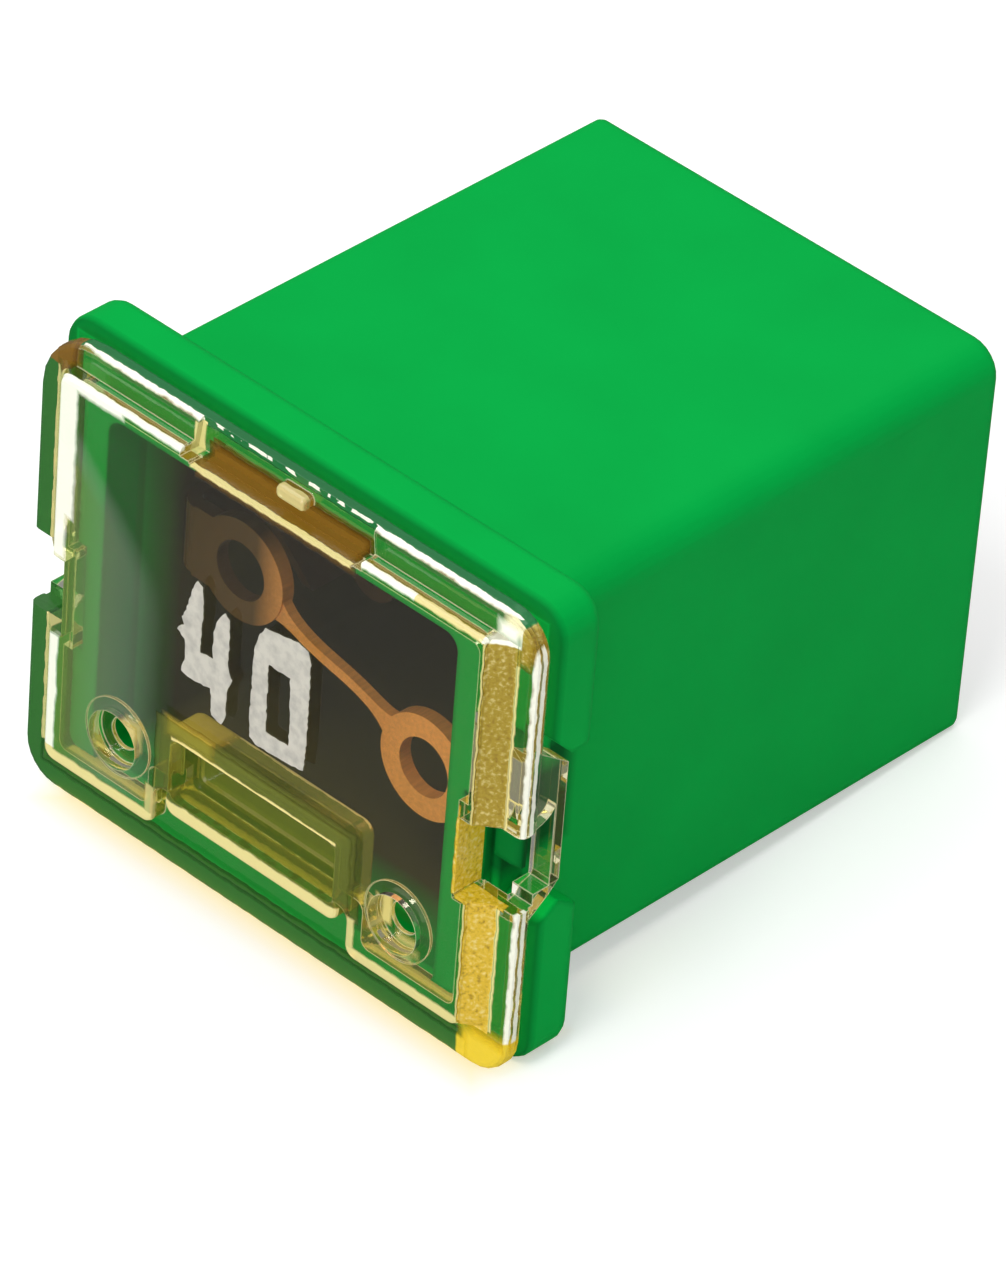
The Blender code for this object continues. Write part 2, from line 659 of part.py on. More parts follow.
def make_link():
    """Flat melting link between the eyes, narrow in the middle and flared at its ends."""
    stations = 24
    reach = EYE_OFFSET - (EYE_RADIUS + EYE_HOLE_RADIUS) / 2 * math.cos(math.atan2(EYE_DROP, EYE_OFFSET))
    slope = -EYE_DROP / EYE_OFFSET
    across = Vector((-slope, 0.0, 1.0)).normalized()
    bm = bmesh.new()
    rows = []
    for step in range(stations + 1):
        share = 2 * step / stations - 1
        centre = Vector((reach * share, ELEMENT_PLANE, slope * reach * share))
        centre += across * LINK_BOW * math.sin(math.pi * share)
        half = (LINK_WIDTH + (LINK_END_WIDTH - LINK_WIDTH) * abs(share) ** 6) / 2
        rows.append((bm.verts.new(centre - across * half), bm.verts.new(centre + across * half)))
    for near, far in zip(rows, rows[1:]):
        bm.faces.new((near[0], near[1], far[1], far[0]))
    return bm


def make_eye(side):
    """Disc with a pad towards the leg; its hole is cut later."""
    reach = math.sqrt(EYE_RADIUS**2 - (PAD_HEIGHT / 2) ** 2)
    turn = math.degrees(math.atan2(PAD_HEIGHT / 2, reach))
    outline = arc((EYE_OFFSET, -EYE_DROP), EYE_RADIUS, turn, 360 - turn, ROUND_SEGMENTS)
    pad_end = LEG_PLANE - BEND_RADIUS
    outline += [(pad_end, -EYE_DROP - PAD_HEIGHT / 2), (pad_end, -EYE_DROP + PAD_HEIGHT / 2)]
    outline = [(side * x, side * z) for x, z in outline]
    return prism(outline, "Y", ELEMENT_PLANE - SHEET / 2, ELEMENT_PLANE + SHEET / 2)


def make_leg(tools, side):
    """Strip from the eye's pad, round the bend and back to the receptacle's full width."""
    thin = SHEET * 0.96
    path = [(LEG_PLANE - BEND_RADIUS - OVERLAP * 2, ELEMENT_PLANE)]
    path += arc((LEG_PLANE - BEND_RADIUS, ELEMENT_PLANE + BEND_RADIUS), BEND_RADIUS, -90, 0, 6)
    bend_end = ELEMENT_PLANE + BEND_RADIUS
    shoulder = bend_end + LEG_LENGTH
    path += [(LEG_PLANE, shoulder), (LEG_PLANE, shoulder + SHOULDER_LENGTH)]
    path.append((LEG_PLANE, RECEPTACLE_FRONT + OVERLAP))
    rows = []
    for x, y in path:
        wide = y > shoulder + SHOULDER_LENGTH / 2
        middle = 0.0 if wide else -EYE_DROP * side
        half = RECEPTACLE_WIDTH / 2 if wide else PAD_HEIGHT / 2 - OVERLAP / 2
        rows.append([(side * x, y, middle - half), (side * x, y, middle + half)])
    return strip(rows, thin, f"leg_{side}", tools)


def make_receptacle(tools, side):
    """Rolled receptacle: a base plate whose two long edges curl in over the blade."""
    half = RECEPTACLE_WIDTH / 2
    curl_x = LEG_PLANE - CURL_RADIUS
    upper = arc((curl_x, half), CURL_RADIUS, 0, 180, 8)
    tip = (LEG_PLANE - 2 * CURL_RADIUS + LIP_LEAN, half - LIP_LENGTH)
    upper.append(tip)
    lower = [(x, -z) for x, z in reversed(upper)]
    profile = lower + upper
    stations = (RECEPTACLE_FRONT, RECEPTACLE_REAR)
    rows = [[(side * x, y, z) for x, z in profile] for y in stations]
    return strip(rows, SHEET, f"receptacle_{side}", tools)


def lay_down(parts):
    """Tilt the fuse to its resting place and put the origin under the middle of its box."""
    ROOT.rotation_euler = (-REST_TILT, 0.0, 0.0)
    bpy.context.view_layer.update()
    graph = bpy.context.evaluated_depsgraph_get()
    corners = []
    for piece in parts:
        shown = piece.evaluated_get(graph)
        mesh = shown.to_mesh()
        corners += [shown.matrix_world @ vert.co for vert in mesh.vertices]
        shown.to_mesh_clear()
    low = [min(corner[axis] for corner in corners) for axis in range(3)]
    high = [max(corner[axis] for corner in corners) for axis in range(3)]
    ROOT.location = (-(low[0] + high[0]) / 2, -(low[1] + high[1]) / 2, -low[2])
    bpy.context.view_layer.update()


clear_scene()
PARTS = new_collection("mini_cartridge_fuse")
TOOLS = new_collection("cutters")
ROOT = bpy.data.objects.new("fuse_root", None)
PARTS.objects.link(ROOT)

GREEN_PLASTIC = new_material("green_moulded_polyamide", (0.0, 0.42, 0.06), 0.4)
CLEAR_PLASTIC = new_material("clear_amber_polysulfone", (0.85, 0.78, 0.45), 0.08, alpha=0.3)
COPPER_ALLOY = new_material("copper_alloy_strip", (0.72, 0.33, 0.12), 0.35, metallic=1.0)

lay_down(
    [
        make_housing(PARTS, TOOLS, GREEN_PLASTIC),
        make_cover(PARTS, TOOLS, CLEAR_PLASTIC),
        make_element(PARTS, TOOLS, COPPER_ALLOY),
    ]
)
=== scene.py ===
"""Looks for the mini cartridge fuse, laid out as an add-on and run as a script."""

import json
import math
import random

import bmesh
import bpy
from mathutils import Matrix, Vector


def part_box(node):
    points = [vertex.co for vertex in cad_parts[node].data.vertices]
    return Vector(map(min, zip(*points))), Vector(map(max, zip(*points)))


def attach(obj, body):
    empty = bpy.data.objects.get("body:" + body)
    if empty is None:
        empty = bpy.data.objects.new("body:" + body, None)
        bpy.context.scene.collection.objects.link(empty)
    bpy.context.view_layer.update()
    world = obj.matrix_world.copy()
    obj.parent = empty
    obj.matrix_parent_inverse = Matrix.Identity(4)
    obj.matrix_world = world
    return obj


bl_info = {
    "name": "Cartridge Fuse Looks",
    "version": (1, 0, 0),
    "blender": (4, 5, 0),
    "location": "3D View > Sidebar > Fuse",
    "description": "Dresses the mini cartridge fuse and sets its studio",
    "category": "Object",
}

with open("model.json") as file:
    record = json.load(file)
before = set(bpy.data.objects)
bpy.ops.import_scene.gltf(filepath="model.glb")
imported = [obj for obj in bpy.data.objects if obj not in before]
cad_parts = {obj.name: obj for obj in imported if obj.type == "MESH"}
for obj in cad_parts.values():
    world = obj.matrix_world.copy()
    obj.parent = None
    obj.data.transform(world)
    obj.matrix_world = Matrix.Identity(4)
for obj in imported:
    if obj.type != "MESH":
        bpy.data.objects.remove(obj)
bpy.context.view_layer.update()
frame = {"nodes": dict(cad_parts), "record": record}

MM = 0.001

# Sizes shared with the solids, in the fuse's own frame: y = 0 on the front of the cover's border
REAR = 16.49 * MM
WINDOW_FRONT = -0.43 * MM

# The same for the materials, which work in millimetres
CAVITY_SIDE = 5.39
CAVITY_TOP = 4.8
FLANGE_FRONT = 0.74
BORDER_SIDE = 7.65
BORDER_TOP = 6.225
WINDOW_SIDE = 6.58
WINDOW_TOP = 5.575
WINDOW_BOTTOM = -5.025
SLOPE_SIDE = 7.08
RECESS_SIDE = 2.5
RECESS_TOP = 5.305
BITE_SIDE = 3.05
SILL_BOTTOM = -4.405
POCKET_SIDE = 2.6
POCKET_BOTTOM = -3.975
POCKET_TOP = -2.275
POCKET_BACK = 0.85
WELL_X = 4.43
WELL_Z = -3.405
LATCH_SIDE = 6.18
LATCH_TOP = 0.6
LATCH_BOTTOM = -1.5

# Zones of the housing where shade is painted, in millimetres along x, y and z
# The cavity's range runs on through the rear wall, so its painted shade darkens the outer face round the
# slots too
CAVITY = ((-CAVITY_SIDE - 0.1, CAVITY_SIDE + 0.1), (1.2, 20.0), (-CAVITY_TOP - 0.1, CAVITY_TOP + 0.1))
CAVITY_SHADE_START = 1.0
CAVITY_SHADE_FULL = 2.8
MOUTH = ((-7.3, 7.3), (-1.0, 1.5), (-5.9, 5.9))
MOUTH_SHARE = 0.65
LATCH_HOLLOW = ((5.6, 7.75), (0.3, 3.2), (-1.0, 1.7))
HOLLOW_SHARE = 0.85
SEAM_FULL = FLANGE_FRONT + 0.06
SEAM_END = FLANGE_FRONT + 0.26
SEAM_SHADE = 0.45

# The cover's painted light and shade: softness of a band along y, how fast its colour comes in, and how
# bright it glows
BAND_DEPTH_SOFTNESS = 0.02
BAND_COLOUR_SWITCH = 8.0
BAND_GLOW = 0.2
BAND_WANDER = 0.12
EDGE_LINE_WIDTH = 0.05 * MM
EDGE_LINE_STRENGTH = 0.6
TONES = ("light", "cream", "amber", "gold", "yellow", "brown", "olive", "green", "shade", "moss")

# How well a rounded normal matches the face's own on a flat face and on a sharp edge
FLAT_MATCH = 0.99
EDGE_MATCH = 0.86

# A patch of light painted on the window grows along this slanting direction and towards the left, in
# millimetres
SIDE_LIGHT_DIRECTION = Vector((-0.69, 0.0, -0.726))
SIDE_LIGHT_START = 0.9
SIDE_LIGHT_FULL = 1.7
SIDE_LIGHT_RIGHT = -3.0
SIDE_LIGHT_LEFT = -6.0
SIDE_LIGHT_BACK = -0.3

# A ray counts as trapped in the cover after more bounces or more reflections than these
DEEP_BOUNCES = 6.5
DEEP_REFLECTIONS = 2.5

# The strip's painted shade is full left of the first place and gone right of the second
STRIP_SHADE_FULL = -2.5
STRIP_SHADE_END = -1.5

# The print's outline: a point this often, each moved by up to so much
PRINT_SEED = 7
PRINT_STEP = 0.09 * MM
PRINT_RAGGEDNESS = 0.02 * MM
PRINT_FILM_SHARE = 0.8

# The studio's floor, as every ray sees it, as the camera does and as a mirror does
FLOOR_HALF_SIZE = 2.0
FLOOR_WHITE = (0.85, 0.85, 0.85, 1.0)
FLOOR_SEEN = (0.72, 0.72, 0.72, 1.0)
FLOOR_MIRRORED = (0.12, 0.12, 0.12, 1.0)
FLOOR_LIFT_CAMERA = 0.3
FLOOR_LIFT_SEEN = 0.16
FRINGE_SOFTNESS = 0.8 * MM
WORLD_LIGHT = 0.35
WHITE = (1.0, 1.0, 1.0, 1.0)

# The softboxes: name, place, size and the property that holds the power
LAMPS = (
    ("key_softbox", Vector((0.03, -0.11, 0.22)), 0.08, "key_power"),
    ("overhead_softbox", Vector((-0.05, 0.03, 0.25)), 0.25, "fill_power"),
    ("front_softbox", Vector((-0.02, -0.22, 0.05)), 0.12, "front_power"),
)

# The photograph's camera in the fuse's own frame, and the picture's height in pixels
CAMERA_PLACE = Vector((116.148, -123.939, 127.829)) * MM
CAMERA_FORWARD = Vector((-0.5323, 0.6024, -0.5948))
CAMERA_RIGHT = Vector((0.7154, 0.6957, 0.0644))
CAMERA_FOCAL_PX = 9650.95
CAMERA_NEAR = 0.01
CAMERA_FAR = 10.0
SENSOR_SIZE = 36.0
PICTURE_HEIGHT = 1280

# Kinds of nodes, and the colour mix's sockets
MATH = "ShaderNodeMath"
VECTOR_MATH = "ShaderNodeVectorMath"
MAP_RANGE = "ShaderNodeMapRange"
AXES = "ShaderNodeSeparateXYZ"
NOISE = "ShaderNodeTexNoise"
COLOUR_RAMP = "ShaderNodeValToRGB"
MIX = "ShaderNodeMix"
MIX_SHADER = "ShaderNodeMixShader"
SHARE = 0
FIRST = 6
SECOND = 7

# Outlines of the rating's digits in millimetres, with the four's torn left edge
DIGIT_FOUR = [
    (-2.01, 2.42), (-1.85, 2.32), (-1.79, 2.0), (-1.83, 0.54), (-1.43, 0.62), (-1.45, 1.33), (-1.29, 1.82),
    (-1.11, 2.02), (-0.96, 1.89), (-0.95, 0.58), (-0.82, 0.34), (-0.93, -0.04), (-0.94, -0.74),
    (-1.06, -1.0), (-1.38, -0.9), (-1.44, -0.23), (-1.96, -0.31), (-2.36, -0.25), (-2.38, -0.11),
    (-2.26, 0.2), (-2.32, 0.64), (-2.57, 0.81), (-2.37, 1.03), (-2.44, 1.19), (-2.32, 1.46),
    (-2.14, 2.17),
]
DIGIT_NOUGHT = [
    (-0.18, 1.55), (-0.05, 2.07), (0.12, 2.3), (1.13, 2.48), (1.42, 2.39), (1.53, 2.11), (1.55, 0.11),
    (1.51, -0.83), (1.25, -0.86), (0.0, -0.93), (-0.18, -0.82), (-0.21, -0.15),
]
DIGIT_NOUGHT_HOLE = [(0.27, 1.41), (0.94, 1.4), (1.01, 0.33), (1.01, -0.41), (0.29, -0.42)]


def rest_lie(record):
    """The fuse's own frame in the world, read from the mount on its rear face."""
    mount = next(m for m in record["mounts"] if m["name"] == "terminal_end")
    back = Vector(mount["axis"]).normalized()
    tilt = math.atan2(-back.z, back.y)
    place = Vector(mount["pos_m"]) - back * REAR
    return Matrix.Translation(place) @ Matrix.Rotation(-tilt, 4, "X")


LIE = rest_lie(frame["record"])


def linear(hex_colour):
    """An sRGB hex colour as linear RGBA."""
    channels = [int(hex_colour[i : i + 2], 16) / 255 for i in (1, 3, 5)]
    turned = [c / 12.92 if c <= 0.04045 else ((c + 0.055) / 1.055) ** 2.4 for c in channels]
    return (*turned, 1.0)


def toned(colour, factor):
    """A colour made darker or brighter."""
    return (*[min(1.0, channel * factor) for channel in colour[:3]], 1.0)


def set_inputs(tree, node, inputs):
    """Give a node's inputs values or links; a node given as a value stands for its first open output."""
    pairs = inputs.items() if isinstance(inputs, dict) else enumerate(inputs)
    for socket, value in pairs:
        if isinstance(value, bpy.types.Node):
            value = next(output for output in value.outputs if output.enabled)
        if isinstance(value, bpy.types.NodeSocket):
            tree.links.new(value, node.inputs[socket])
        else:
            node.inputs[socket].default_value = value


def add_node(tree, kind, inputs=(), **settings):
    """Add one node with its settings and links."""
    node = tree.nodes.new(kind)
    for name, value in settings.items():
        setattr(node, name, value)
    set_inputs(tree, node, inputs)
    return node


def set_ramp(node, stops):
    """Give a colour ramp its two stops, each a position and a colour."""
    for element, (position, colour) in zip(node.color_ramp.elements, stops):
        element.position = position
        element.color = colour


def new_material(name):
    """A material with its principled shader, ready for nodes."""
    made = bpy.data.materials.new(name)
    made.use_nodes = True
    return made, made.node_tree, made.node_tree.nodes["Principled BSDF"]


def own_millimetres(tree):
    """Coordinates in the fuse's own frame, in millimetres."""
    inputs = {
        "Vector": add_node(tree, "ShaderNodeTexCoord").outputs["Object"],
        "Location": LIE.to_translation(),
        "Rotation": LIE.to_euler(),
        "Scale": (MM, MM, MM),
    }
    return add_node(tree, "ShaderNodeMapping", inputs, vector_type="TEXTURE").outputs["Vector"]


def inside_box(tree, place, ranges, soft):
    """How well a point lies inside a box, from 0 on its walls to 1 a soft margin within."""
    centre = [(low + high) / 2 for low, high in ranges]
    half = [(high - low) / 2 for low, high in ranges]
    margins = soft if isinstance(soft, tuple) else (soft, soft, soft)
    away = add_node(tree, VECTOR_MATH, (place, centre), operation="SUBTRACT")
    size = add_node(tree, VECTOR_MATH, (away,), operation="ABSOLUTE")
    within = add_node(tree, VECTOR_MATH, (half, size), operation="SUBTRACT")
    shares = add_node(tree, VECTOR_MATH, (within, margins), operation="DIVIDE")
    axes = add_node(tree, AXES, (shares,)).outputs
    least = add_node(tree, MATH, (axes["X"], axes["Y"]), operation="MINIMUM")
    return add_node(tree, MATH, (least, axes["Z"]), operation="MINIMUM", use_clamp=True)


def sharp_edges(tree, width):
    """1 on the sharp edges of a solid, 0 on its faces."""
    face = add_node(tree, "ShaderNodeNewGeometry").outputs["Normal"]
    rounded = add_node(tree, "ShaderNodeBevel", {"Radius": width}, samples=4)
    match = add_node(tree, VECTOR_MATH, (rounded, face), operation="DOT_PRODUCT")
    return add_node(tree, MAP_RANGE, (match, FLAT_MATCH, EDGE_MATCH))


def dress_node(name, material):
    """Put a material on a solid of the frame."""
    for slot in frame["nodes"][name].material_slots:
        slot.material = material


def new_piece(name, bm, material):
    """A new piece in the world, from a bmesh in the fuse's own frame."""
    mesh = bpy.data.meshes.new(name)
    bm.transform(LIE)
    bm.to_mesh(mesh)
    bm.free()
    mesh.materials.append(material)
    piece = bpy.data.objects.new(name, mesh)
    bpy.context.scene.collection.objects.link(piece)
    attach(piece, "root")
    return piece


class FuseLooks(bpy.types.PropertyGroup):
    """Colours and sizes that a user would change."""

    body_colour: bpy.props.StringProperty(
        name="Body Colour",
        description="sRGB hex colour of the moulded housing",
        default="#00B248",
    )
    # Painted shade in the hollows under the latch loops
    hollow_shade_colour: bpy.props.StringProperty(
        name="Hollow Colour",
        description="sRGB hex colour of the housing under the latch loops",
        default="#004A20",
    )
    # Painted shade deep in the cavity
    cavity_shade_colour: bpy.props.StringProperty(
        name="Cavity Colour",
        description="sRGB hex colour of the depth of the cavity",
        default="#484620",
    )
    # Tones of the light, reflections and shade painted on the cover
    edge_light_colour: bpy.props.StringProperty(
        name="Edge Light Colour",
        description="sRGB hex colour of the cover's brightest edges",
        default="#FAFBEA",
    )
    edge_cream_colour: bpy.props.StringProperty(
        name="Edge Cream Colour",
        description="sRGB hex colour of the cover's other bright edges",
        default="#EBDC96",
    )
    edge_amber_colour: bpy.props.StringProperty(
        name="Edge Amber Colour",
        description="sRGB hex colour of the cover's textured slopes",
        default="#A8902E",
    )
    edge_yellow_colour: bpy.props.StringProperty(
        name="Edge Yellow Colour",
        description="sRGB hex colour of the cover's thick corners",
        default="#E6C830",
    )
    edge_gold_colour: bpy.props.StringProperty(
        name="Edge Gold Colour",
        description="sRGB hex colour of the lower slope and the latch wall",
        default="#D8B32C",
    )
    edge_brown_colour: bpy.props.StringProperty(
        name="Edge Brown Colour",
        description="sRGB hex colour of the cover's dark corner and recess",
        default="#7E5C1C",
    )
    edge_olive_colour: bpy.props.StringProperty(
        name="Edge Olive Colour",
        description="sRGB hex colour of the pocket's upper corner",
        default="#BDAA48",
    )
    edge_green_colour: bpy.props.StringProperty(
        name="Edge Green Colour",
        description="sRGB hex colour of the housing mirrored in the rim",
        default="#2C6A28",
    )
    edge_shade_colour: bpy.props.StringProperty(
        name="Edge Shade Colour",
        description="sRGB hex colour of the seam seen in the cover's top",
        default="#0B6E36",
    )
    edge_moss_colour: bpy.props.StringProperty(
        name="Edge Moss Colour",
        description="sRGB hex colour of the pocket's thick walls",
        default="#8C9646",
    )
    # A patch of light painted on the window's left side
    side_light_colour: bpy.props.StringProperty(
        name="Haze Colour",
        description="sRGB hex colour of the window's hazy side",
        default="#9CB462",
    )
    # The golden glow painted where rays are trapped in the cover
    edge_glow_colour: bpy.props.StringProperty(
        name="Edge Glow Colour",
        description="sRGB hex colour of light trapped in the cover",
        default="#A09448",
    )
    # How strongly the painted patch of light shows
    side_light_share: bpy.props.FloatProperty(
        name="Haze",
        description="Share of light that the window's hazy side scatters",
        default=0.21,
        subtype="FACTOR",
    )
    metal_colour: bpy.props.StringProperty(
        name="Metal Colour",
        description="sRGB hex colour of the stamped strip",
        default="#FFB066",
    )
    # Painted shade on the strip's left end
    strip_shade_colour: bpy.props.StringProperty(
        name="Heat Colour",
        description="sRGB hex colour of the strip's heat-tinted end",
        default="#5A4020",
    )
    print_colour: bpy.props.StringProperty(
        name="Print Colour",
        description="sRGB hex colour of the rating's ink",
        default="#E8E5DA",
    )
    print_thickness: bpy.props.FloatProperty(
        name="Print Thickness",
        description="How far the ink stands off the window",
        default=0.02 * MM,
        unit="LENGTH",
        precision=5,
    )
    # A painted pool of amber light on the floor in front of the cover
    fringe_colour: bpy.props.StringProperty(
        name="Fringe Colour",
        description="sRGB hex colour of the light under the cover's edge",
        default="#F2D69C",
    )
    fringe_share: bpy.props.FloatProperty(
        name="Fringe",
        description="Strength of the light under the cover's edge",
        default=0.6,
        subtype="FACTOR",
    )
    key_power: bpy.props.FloatProperty(
        name="Key Power",
        description="Power of the softbox above and in front",
        default=0.2,
        unit="POWER",
    )
    fill_power: bpy.props.FloatProperty(
        name="Fill Power",
        description="Power of the wide softbox overhead",
        default=0.25,
        unit="POWER",
    )
    front_power: bpy.props.FloatProperty(
        name="Front Power",
        description="Power of the softbox before the window",
        default=0.18,
        unit="POWER",
    )


def housing_shade(tree, place):
    """Where shade is painted on the housing: along the seam behind the cover, and evenly behind the
    window.
    """
    depth = add_node(tree, AXES, (place,)).outputs["Y"]
    seam = add_node(tree, MAP_RANGE, (depth, SEAM_END, SEAM_FULL))
    behind = inside_box(tree, place, MOUTH, 0.1)
    outside = add_node(tree, MATH, (1.0, behind), operation="SUBTRACT")
    shaded = add_node(tree, MATH, (seam, outside), operation="MULTIPLY")
    even = add_node(tree, MATH, (behind, MOUTH_SHARE), operation="MULTIPLY")
    return add_node(tree, MATH, (shaded, even), operation="MAXIMUM")


def cavity_shade(tree, place):
    """Where shade is painted on the cavity's walls, darker further behind the link."""
    depth = add_node(tree, AXES, (place,)).outputs["Y"]
    inside = inside_box(tree, place, CAVITY, 0.02)
    deep = add_node(tree, MAP_RANGE, (depth, CAVITY_SHADE_START, CAVITY_SHADE_FULL))
    return add_node(tree, MATH, (inside, deep), operation="MULTIPLY")


def latch_hollow_shade(tree, place):
    """Painted shade in the hollows under the latch loops, on both sides."""
    mirrored = add_node(tree, VECTOR_MATH, (place,), operation="ABSOLUTE")
    inside = inside_box(tree, mirrored, LATCH_HOLLOW, 0.5)
    return add_node(tree, MATH, (inside, HOLLOW_SHARE), operation="MULTIPLY")


def moulded_polyamide(looks):
    """Glass-filled polyamide 66, injection moulded: satin, even in colour, with a fine orange peel, and
    with shade painted on it.
    """
    material, tree, shader = new_material("moulded_polyamide_green")
    place = own_millimetres(tree)
    # Drifts of pigment a few millimetres wide change the green by a few parts in a hundred
    green = linear(looks.body_colour)
    drift = add_node(tree, NOISE, {"Vector": place, "Scale": 0.35, "Detail": 3.0})
    colour = add_node(tree, COLOUR_RAMP, (drift,))
    set_ramp(colour, [(0.3, toned(green, 0.96)), (0.7, toned(green, 1.03))])
    # Painted shade along the seam, behind the window, in the latch hollows and deep in the cavity
    for share, shade in (
        (housing_shade(tree, place), toned(green, SEAM_SHADE)),
        (latch_hollow_shade(tree, place), linear(looks.hollow_shade_colour)),
        (cavity_shade(tree, place), linear(looks.cavity_shade_colour)),
    ):
        colour = add_node(tree, MIX, {SHARE: share, FIRST: colour, SECOND: shade}, data_type="RGBA")
    # Spark-eroded mould texture with a grain of 0.1 mm, on edges that look slightly rounded
    rounded = add_node(tree, "ShaderNodeBevel", {"Radius": 0.2 * MM}, samples=2)
    grain = add_node(tree, NOISE, {"Vector": place, "Scale": 9.0, "Detail": 2.0})
    texture = {"Height": grain, "Strength": 0.12, "Distance": 0.01 * MM, "Normal": rounded}
    finish = {
        "Base Color": colour,
        "Normal": add_node(tree, "ShaderNodeBump", texture),
        "Roughness": 0.58,
        "IOR": 1.53,
        "Specular IOR Level": 0.04,
    }
    set_inputs(tree, shader, finish)
    return material


def near(line, before, after):
    """A range round a line, from so far before it to so far after it."""
    return (line - before, line + after)


